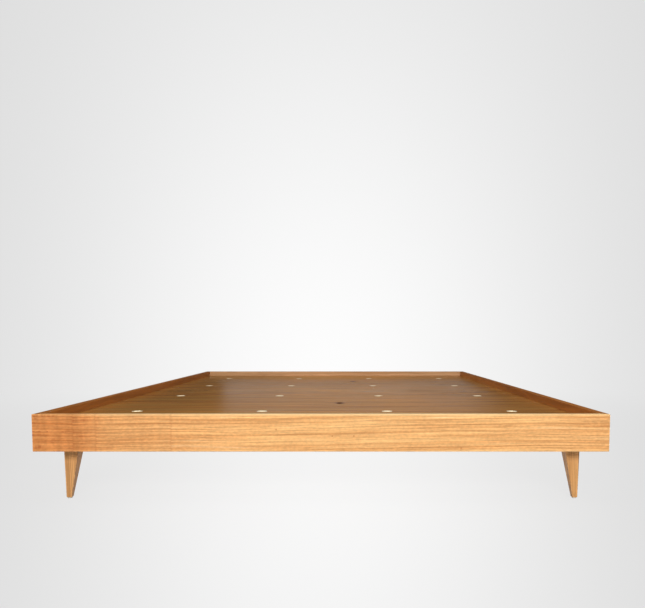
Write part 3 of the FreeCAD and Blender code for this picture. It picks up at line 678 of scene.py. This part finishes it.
# ---------------------------------------------------------------- shaping
WELD_REACH = 0.000005
FLAT_ANGLE = math.radians(0.5)
SHARP_ANGLE = 1.0
SMOOTH_ANGLE = math.radians(35.0)


def only(piece):
    """Select this object alone, and make it the active one."""
    bpy.ops.object.select_all(action="DESELECT")
    piece.select_set(True)
    bpy.context.view_layer.objects.active = piece


def edit(kind):
    """Go into edit mode with nothing selected, and give the mesh to choose in."""
    bpy.ops.object.mode_set(mode="EDIT")
    bpy.ops.mesh.select_mode(type=kind)
    bpy.ops.mesh.select_all(action="DESELECT")
    return bmesh.from_edit_mesh(bpy.context.object.data)


def choose(shape, items, test):
    """Select the items that pass a test, and nothing else."""
    bpy.ops.mesh.select_all(action="DESELECT")
    for item in items:
        if test(item):
            item.select_set(True)
    shape.select_flush_mode()
    bmesh.update_edit_mesh(bpy.context.object.data)


def extrude(rise):
    """Draw the chosen faces out along Z."""
    bpy.ops.mesh.extrude_region_move(TRANSFORM_OT_translate={"value": (0.0, 0.0, rise)})


def narrow(share):
    """Draw the chosen faces in round their middle."""
    bpy.ops.transform.resize(value=(share, share, 1.0))


def leave():
    bpy.ops.object.mode_set(mode="OBJECT")


def smooth(piece):
    only(piece)
    bpy.ops.object.shade_smooth_by_angle(angle=SMOOTH_ANGLE)


def closed_copy(node, name):
    """A copy of a CAD piece with its loose triangles joined into whole faces."""
    piece = bpy.data.objects.new(name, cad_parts[node].data.copy())
    bpy.context.scene.collection.objects.link(piece)
    only(piece)
    bpy.ops.object.mode_set(mode="EDIT")
    bpy.ops.mesh.select_all(action="SELECT")
    bpy.ops.mesh.remove_doubles(threshold=WELD_REACH)
    bpy.ops.mesh.dissolve_limited(angle_limit=FLAT_ANGLE)
    leave()
    if piece.data.has_custom_normals:
        bpy.ops.mesh.customdata_custom_splitnormals_clear()
    return piece


def is_sharp(edge):
    return len(edge.link_faces) == 2 and edge.calc_face_angle() > SHARP_ANGLE


def hand_over(piece, node, material):
    """The piece takes the place of a CAD node, moves with it and gets its finish."""
    piece.data.materials.clear()
    piece.data.materials.append(material)
    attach(piece, "frame")
    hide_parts(node)


def eased_copy(node, material, width, shortest):
    """The same piece with its long sharp edges rounded."""
    piece = closed_copy(node, f"{node}_eased")
    shape = edit("EDGE")
    choose(shape, shape.edges, lambda edge: is_sharp(edge) and edge.calc_length() > shortest)
    bpy.ops.mesh.bevel(offset=width, segments=2, affect="EDGES")
    leave()
    smooth(piece)
    hand_over(piece, node, material)


# ---------------------------------------------------------------- screws
HEAD_RADIUS = 0.004
HEAD_HEIGHT = 0.0024
SHANK_RADIUS = 0.002
POINT_LENGTH = 0.004
POINT_WIDTH = 0.15
CROSS_REACH = 0.0023
CROSS_DEPTH = 0.0015
CROSS_ARM = CROSS_REACH * math.sin(math.radians(14.0))
CROSS_WAIST = 0.27
CROSS_TAPER = 0.6
TWIST = math.radians(37.0)

# how near is near enough when a face or a point is looked for
DISC_SLACK = 0.08
AXIS_SLACK = 0.0005
CROSS_SLACK = 1.05
LEVEL_SLACK = 0.0001
LEVEL_FACE = 0.9


def is_disc(face, radius):
    area = math.pi * radius ** 2
    return len(face.verts) > 8 and abs(face.calc_area() / area - 1.0) < DISC_SLACK


def screw_length(head, tips):
    """From the middle of a head to the nearest tip that lies straight behind it."""
    middle = head.calc_center_median()
    lengths = []
    for tip in tips:
        length = (middle - tip).dot(head.normal)
        if length > 0 and (middle - tip - length * head.normal).length < AXIS_SLACK:
            lengths.append(length)
    return min(lengths)


def screw_places(node):
    """For each screw: the middle of its flat head, the way that looks, and the screw's length."""
    pattern = closed_copy(node, "screw_pattern")
    shape = bmesh.new()
    shape.from_mesh(pattern.data)
    heads = [face for face in shape.faces if is_disc(face, HEAD_RADIUS)]
    tips = [face.calc_center_median() for face in shape.faces if is_disc(face, SHANK_RADIUS)]
    places = []
    for head in heads:
        places.append((head.calc_center_median(), head.normal.copy(), screw_length(head, tips)))
    shape.free()
    bpy.data.objects.remove(pattern)
    return places


def within_cross(vert):
    return vert.co.xy.length < CROSS_REACH * CROSS_SLACK


def between_arms(vert):
    """A point in the plane of the head, in one of the four corners between the cross's arms."""
    in_corner = min(abs(vert.co.x), abs(vert.co.y)) > CROSS_ARM
    return vert.co.z > -LEVEL_SLACK and within_cross(vert) and in_corner


def is_cross(face):
    return face.normal.z > LEVEL_FACE and all(within_cross(vert) for vert in face.verts)


def sink_cross(screw, shape):
    """The head's middle is inset, drawn in between the four arms, and sunk."""
    choose(shape, shape.faces, lambda face: face.normal.z > LEVEL_FACE)
    bpy.ops.mesh.inset(thickness=HEAD_RADIUS - CROSS_REACH, depth=0.0)
    shape = bmesh.from_edit_mesh(screw.data)
    bpy.ops.mesh.select_mode(type="VERT")
    choose(shape, shape.verts, between_arms)
    bpy.ops.transform.resize(value=(CROSS_WAIST, CROSS_WAIST, 1.0), center_override=(0.0, 0.0, 0.0))
    bpy.ops.mesh.select_mode(type="FACE")
    choose(shape, shape.faces, is_cross)
    extrude(-CROSS_DEPTH)
    narrow(CROSS_TAPER)


def draw_shank(screw, length):
    """The shank and its point grow out of the head's underside."""
    shape = bmesh.from_edit_mesh(screw.data)
    choose(shape, shape.faces, lambda face: face.normal.z < -LEVEL_FACE)
    extrude(HEAD_HEIGHT + POINT_LENGTH - length)
    extrude(-POINT_LENGTH)
    narrow(POINT_WIDTH)


def model_screw(length):
    """A countersunk cross-head screw on the Z axis, its flat head at zero and its point down."""
    bpy.ops.object.select_all(action="DESELECT")
    bpy.ops.mesh.primitive_cone_add(
        vertices=36, radius1=SHANK_RADIUS, radius2=HEAD_RADIUS, depth=HEAD_HEIGHT,
        location=(0.0, 0.0, -HEAD_HEIGHT / 2),
    )
    screw = bpy.context.object
    only(screw)
    bpy.ops.object.transform_apply(location=True)
    sink_cross(screw, edit("FACE"))
    draw_shank(screw, length)
    leave()
    smooth(screw)
    return screw


def join_copies(pattern, name, matrices):
    """Copies of one shape, each with its own mesh, joined as one object."""
    copies = []
    for index, matrix in enumerate(matrices):
        mesh = pattern.data.copy()
        mesh.transform(matrix)
        copy = bpy.data.objects.new(f"{name}_{index}", mesh)
        bpy.context.scene.collection.objects.link(copy)
        copies.append(copy)
    only(copies[0])
    for copy in copies:
        copy.select_set(True)
    bpy.ops.object.join()
    copies[0].name = name
    bpy.data.objects.remove(pattern)
    return copies[0]


def drive_screws(node, material):
    """A modelled screw in each place, every one turned a little further than the one before."""
    places = screw_places(node)
    matrices = []
    for index, (middle, facing, _) in enumerate(places):
        turn = facing.to_track_quat("Z", "X").to_matrix().to_4x4()
        twist = Matrix.Rotation(TWIST * index, 4, "Z")
        matrices.append(Matrix.Translation(middle) @ turn @ twist)
    screws = join_copies(model_screw(places[0][2]), f"{node}_driven", matrices)
    hand_over(screws, node, material)


# ---------------------------------------------------------------- glides and plates
GLIDE_RADIUS = 0.0055
GLIDE_THICKNESS = 0.003
GLIDE_ROUNDING = 0.0009
TREAD_WIDTH = 0.0026
DIMPLE = 0.0004
FLAT_FACE = 0.99
PIN_RADIUS = 0.0012
PIN_LENGTH = 0.012
PIN_TIP = 0.002
PIN_POINT = 0.3
PLATE_ARRIS = 0.0006
PLATE_SIDE = 0.999
PLATE_CORNER = 1.02


def round_foot(glide, shape):
    """The lower rim is rounded, and a shallow dimple lies inside the tread."""
    choose(shape, shape.edges, lambda edge: is_sharp(edge)
           and all(vert.co.z < LEVEL_SLACK for vert in edge.verts))
    bpy.ops.mesh.bevel(offset=GLIDE_ROUNDING, segments=4, affect="EDGES")
    shape = bmesh.from_edit_mesh(glide.data)
    bpy.ops.mesh.select_mode(type="FACE")
    choose(shape, shape.faces, lambda face: face.normal.z < -FLAT_FACE)
    bpy.ops.mesh.inset(thickness=TREAD_WIDTH, depth=0.0)
    bpy.ops.mesh.inset(thickness=DIMPLE, depth=-DIMPLE)


def raise_pin(glide):
    """The pin stands on the middle of the upper face."""
    shape = bmesh.from_edit_mesh(glide.data)
    choose(shape, shape.faces, lambda face: face.normal.z > FLAT_FACE)
    bpy.ops.mesh.inset(thickness=GLIDE_RADIUS - PIN_RADIUS, depth=0.0)
    extrude(PIN_LENGTH - PIN_TIP)
    extrude(PIN_TIP)
    narrow(PIN_POINT)


def model_glide(corner, material):
    """A round nylon foot with a rounded rim, a dimple below and its pin above."""
    low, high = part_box(f"glide_{corner}")
    middle = (low + high) / 2
    bpy.ops.object.select_all(action="DESELECT")
    bpy.ops.mesh.primitive_cylinder_add(
        vertices=48, radius=GLIDE_RADIUS, depth=GLIDE_THICKNESS,
        location=(middle.x, middle.y, GLIDE_THICKNESS / 2),
    )
    glide = bpy.context.object
    glide.name = f"glide_{corner}_moulded"
    only(glide)
    bpy.ops.object.transform_apply(location=True)
    round_foot(glide, edit("EDGE"))
    raise_pin(glide)
    leave()
    smooth(glide)
    hand_over(glide, f"glide_{corner}", material)


def eased_plate(corner, material):
    """The leg plate with the rounded arris that pressing leaves."""
    node = f"leg_plate_{corner}"
    low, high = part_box(node)
    middle = (low + high) / 2
    half = (high.x - low.x) / 2
    plate = closed_copy(node, f"{node}_pressed")

    def on_rim(vert):
        """On a side of the plate, or on one of its rounded corners."""
        reach = max(abs(vert.co.x - middle.x), abs(vert.co.y - middle.y))
        corner_reach = (vert.co.xy - middle.xy).length
        return reach > half * PLATE_SIDE or corner_reach > half * PLATE_CORNER

    shape = edit("EDGE")
    choose(shape, shape.edges, lambda edge: is_sharp(edge)
           and all(on_rim(vert) for vert in edge.verts))
    bpy.ops.mesh.bevel(offset=PLATE_ARRIS, segments=2, affect="EDGES")
    leave()
    smooth(plate)
    hand_over(plate, node, material)


# ---------------------------------------------------------------- dressing
def dress(node, material):
    """Give a CAD piece its finish."""
    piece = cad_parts[node]
    if not piece.material_slots:
        piece.data.materials.append(material)
    for slot in piece.material_slots:
        slot.material = material


def dress_oak():
    """Each piece is cut from its own place in the log, with the grain along it."""
    dress("rail_front", front_oak_rail("oak_rail_front", (0.3, 1.06, 0.26), (0.0, 0.012, 0.0)))
    dress("rail_rear", rear_oak_rail("oak_rail_rear", (2.1, -0.70, -0.30), (0.0, 0.0, 0.0)))
    dress("rail_left", side_oak_rail("oak_rail_left", (4.2, -0.42, -0.33), (0.0, 0.006, -QUARTER_TURN)))
    dress("rail_right", side_oak_rail("oak_rail_right", (6.9, 0.98, -0.29), (0.0, -0.006, -QUARTER_TURN)))
    dress("deck_panel_front", deck_veneer("deck_front", FRONT_KNOT, (0.0, 0.0, 0.9)))
    dress("deck_panel_rear", deck_veneer("deck_rear", REAR_KNOT, (5.3, 0.2, 0.9)))
    for index, corner in enumerate(LEG_PLACES):
        middle = sum(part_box(f"leg_{corner}"), Vector()) / 2
        shift = (1.7 * index, 0.05 - middle.y, middle.x + 0.06)
        dress(f"leg_{corner}", oak_leg(f"oak_leg_{corner}", shift))


def fit_timber():
    for index, node in enumerate(CROSSWISE_TIMBERS):
        pine = planed_pine(f"pine_{node}", (1.9 * index, 0.03, -0.09), (0.0, 0.0, 0.0))
        eased_copy(node, pine, width=0.0012, shortest=0.02)
    for index, node in enumerate(LENGTHWISE_TIMBERS):
        pine = planed_pine(f"pine_{node}", (2.3 * index + 0.7, 0.02, -0.11), ALONG_Y)
        eased_copy(node, pine, width=0.0012, shortest=0.02)
    for index, node in enumerate(PLYWOOD_PADS):
        ply = birch_ply(f"ply_{node}", (0.9 * index, 0.31, 0.6))
        eased_copy(node, ply, width=0.0008, shortest=0.03)
    dress("mitre_splines", birch_ply("ply_splines", (7.1, 0.31, 0.6)))


def fit_hardware():
    zinc = plated_steel("zinc_plate", ZINC, ZINC_DULL)
    for corner in LEG_PLACES:
        eased_plate(corner, zinc)
    for node in FORMED_STEEL:
        eased_copy(node, zinc, width=0.0003, shortest=0.02)
    passivated = plated_steel("yellow_zinc", YELLOW_ZINC, ZINC_DULL)
    for node in SCREW_SETS:
        drive_screws(node, passivated)
    dress("leg_bolts", passivated)
    nylon = moulded_nylon("nylon")
    for corner in LEG_PLACES:
        model_glide(corner, nylon)


# ---------------------------------------------------------------- camera
CAMERA_PLACE = Vector((0.0623, -2.5109, 0.4118))
CAMERA_TILT = 3.993
CAMERA_LENS = 35.129
CAMERA_SENSOR = 36.0
CAMERA_SHIFT = (-0.0368, 0.12)


def make_camera():
    camera = bpy.data.cameras.new("photo_camera")
    camera.lens = CAMERA_LENS
    camera.sensor_width = CAMERA_SENSOR
    camera.shift_x, camera.shift_y = CAMERA_SHIFT
    holder = bpy.data.objects.new("photo_camera", camera)
    holder.location = CAMERA_PLACE
    holder.rotation_euler = (math.radians(90.0 - CAMERA_TILT), 0.0, 0.0)
    bpy.context.scene.collection.objects.link(holder)
    bpy.context.scene.camera = holder


# ---------------------------------------------------------------- stage and lights
GLOW_AIM = Vector((-0.03, 1.0, -0.11)).normalized()
GLOW_SHAPE = (1.64, 1.0, 1.0)
GLOW_REACH = 1.05
GLOW_BRIGHT = (0.985, 0.985, 0.985)
GLOW_DIM = (0.715, 0.715, 0.715)

FLOOR_RADIUS = 40.0
FLOOR_GREY = (0.70, 0.70, 0.70, 1.0)
FADE_START = CAMERA_PLACE.y + 0.05
FADE_END = CAMERA_PLACE.y + 0.92
SHADOW_NEAR = 1.0
SHADOW_FAR = 3.2
NEAR_GLOW = 0.92

AMBIENT = 0.26
AMBIENT_COLOUR = (1.0, 0.98, 0.95, 1.0)

# the bright part of the backdrop that gloss sees: sideways and upwards as a share of the way back
GLOSS_LEFT = (-0.205, -0.185)
GLOSS_RIGHT = (0.17, 0.28)
GLOSS_TOP = (0.078, 0.104)
GLOSS_ABOVE = 0.10
GLOSS_DIM = 0.03
GLOSS_BRIGHT = 0.60

LAMPS = (
    # name, place, aim, width and height, watts
    ("key", (0.20, -4.4, 1.8), (0.0, -0.6, 0.15), (2.2, 1.0), 128.0),
    ("back", (-0.6, 4.6, 1.1), (0.0, 0.6, 0.15), (2.4, 1.0), 62.0),
    ("overhead", (0.0, -1.3, 2.4), (0.0, -0.9, 0.2), (1.6, 1.0), 9.0),
)


def glow(tree, direction):
    """Pale grey that brightens round one fixed direction from the camera's place."""
    ahead = put(tree, "VectorMath", {0: direction}, operation="NORMALIZE").outputs[0]
    away = vector_maths(tree, "SUBTRACT", ahead, GLOW_AIM)
    away = vector_maths(tree, "MULTIPLY", away, GLOW_SHAPE)
    spread = put(tree, "VectorMath", {0: away}, operation="LENGTH").outputs["Value"]
    return mix(tree, remap(tree, spread, 0.0, GLOW_REACH), GLOW_BRIGHT, GLOW_DIM)


def floor_glow(tree, place):
    """The floor glows like the backdrop over it, and is dim behind the camera."""
    colour = glow(tree, vector_maths(tree, "SUBTRACT", place, CAMERA_PLACE))
    lengthwise = put(tree, "SeparateXYZ", {0: place}).outputs["Y"]
    ahead = remap(tree, lengthwise, FADE_START, FADE_END)
    return mix(tree, ahead, GLOW_DIM, colour)


def glow_share(tree, place):
    """The camera and gloss see the glow, near the bed with some of the soft shadow in it."""
    reach = put(tree, "VectorMath", {0: place}, operation="LENGTH").outputs["Value"]
    share = remap(tree, reach, SHADOW_NEAR, SHADOW_FAR, NEAR_GLOW, 1.0)
    seen = put(tree, "LightPath").outputs
    watched = maths(tree, "ADD", seen["Is Camera Ray"], seen["Is Glossy Ray"], clamp=True)
    return maths(tree, "MULTIPLY", watched, share)


def make_floor():
    """A wide disc that glows like the backdrop, keeps the soft shadow and is clear from below."""
    bpy.ops.object.select_all(action="DESELECT")
    bpy.ops.mesh.primitive_circle_add(vertices=96, radius=FLOOR_RADIUS, fill_type="NGON")
    floor = bpy.context.object
    floor.name = "studio_floor"
    material, tree, shader = new_material("studio_floor", 0.9, Specular_IOR_Level=0.0,
                                          Base_Color=FLOOR_GREY)
    place = put(tree, "NewGeometry").outputs["Position"]
    light = put(tree, "Emission", {"Color": floor_glow(tree, place), "Strength": 1.0})
    above = put(tree, "MixShader", {
        0: glow_share(tree, place), 1: shader.outputs[0], 2: light.outputs[0],
    })
    clear = put(tree, "BsdfTransparent")
    below = put(tree, "NewGeometry").outputs["Backfacing"]
    sides = put(tree, "MixShader", {0: below, 1: above.outputs[0], 2: clear.outputs[0]})
    tree.links.new(sides.outputs[0], tree.nodes["Material Output"].inputs["Surface"])
    floor.data.materials.append(material)


def gloss_strength(tree, direction):
    """Bright low down in the middle of the rear, sharp at its left side, and dim all round."""
    parts = put(tree, "SeparateXYZ", {0: direction}).outputs
    rearward = maths(tree, "MAXIMUM", parts["Y"], 0.001)
    aside = maths(tree, "DIVIDE", parts["X"], rearward)
    left = remap(tree, aside, *GLOSS_LEFT)
    right = remap(tree, aside, *GLOSS_RIGHT, 1.0, 0.0)
    low = remap(tree, parts["Z"], *GLOSS_TOP, 1.0, GLOSS_ABOVE)
    panel = maths(tree, "MULTIPLY", maths(tree, "MULTIPLY", left, right), low)
    return remap(tree, panel, 0.0, 1.0, GLOSS_DIM, GLOSS_BRIGHT, False)


def make_world():
    """Soft light all round, and a backdrop whose low middle is all that gloss sees bright."""
    world = bpy.data.worlds.new("studio")
    bpy.context.scene.world = world
    world.use_nodes = True
    tree = world.node_tree
    ambient = tree.nodes["Background"]
    ambient.inputs["Color"].default_value = AMBIENT_COLOUR
    ambient.inputs["Strength"].default_value = AMBIENT
    direction = put(tree, "TexCoord").outputs["Generated"]
    backdrop = glow(tree, direction)
    behind = put(tree, "Background", {"Color": backdrop, "Strength": 1.0})
    mirrored = put(tree, "Background", {"Color": backdrop, "Strength": gloss_strength(tree, direction)})
    seen = put(tree, "LightPath").outputs
    glossy = put(tree, "MixShader", {
        0: seen["Is Glossy Ray"], 1: ambient.outputs[0], 2: mirrored.outputs[0],
    })
    shown = maths(tree, "ADD", seen["Is Camera Ray"], seen["Is Transmission Ray"], clamp=True)
    both = put(tree, "MixShader", {0: shown, 1: glossy.outputs[0], 2: behind.outputs[0]})
    tree.links.new(both.outputs[0], tree.nodes["World Output"].inputs["Surface"])


def make_lamps():
    """Soft rectangular lamps that show neither in the picture nor in gloss."""
    for name, place, aim, size, watts in LAMPS:
        lamp = bpy.data.lights.new(f"lamp_{name}", "AREA")
        lamp.shape = "RECTANGLE"
        lamp.size, lamp.size_y = size
        lamp.energy = watts
        holder = bpy.data.objects.new(f"lamp_{name}", lamp)
        holder.location = place
        holder.rotation_mode = "QUATERNION"
        toward = Vector(aim) - Vector(place)
        holder.rotation_quaternion = toward.to_track_quat("-Z", "Y")
        holder.visible_camera = False
        holder.visible_glossy = False
        bpy.context.scene.collection.objects.link(holder)


def set_view():
    bpy.context.scene.view_settings.view_transform = "Standard"


make_camera()
dress_oak()
fit_timber()
fit_hardware()
make_floor()
make_world()
make_lamps()
set_view()
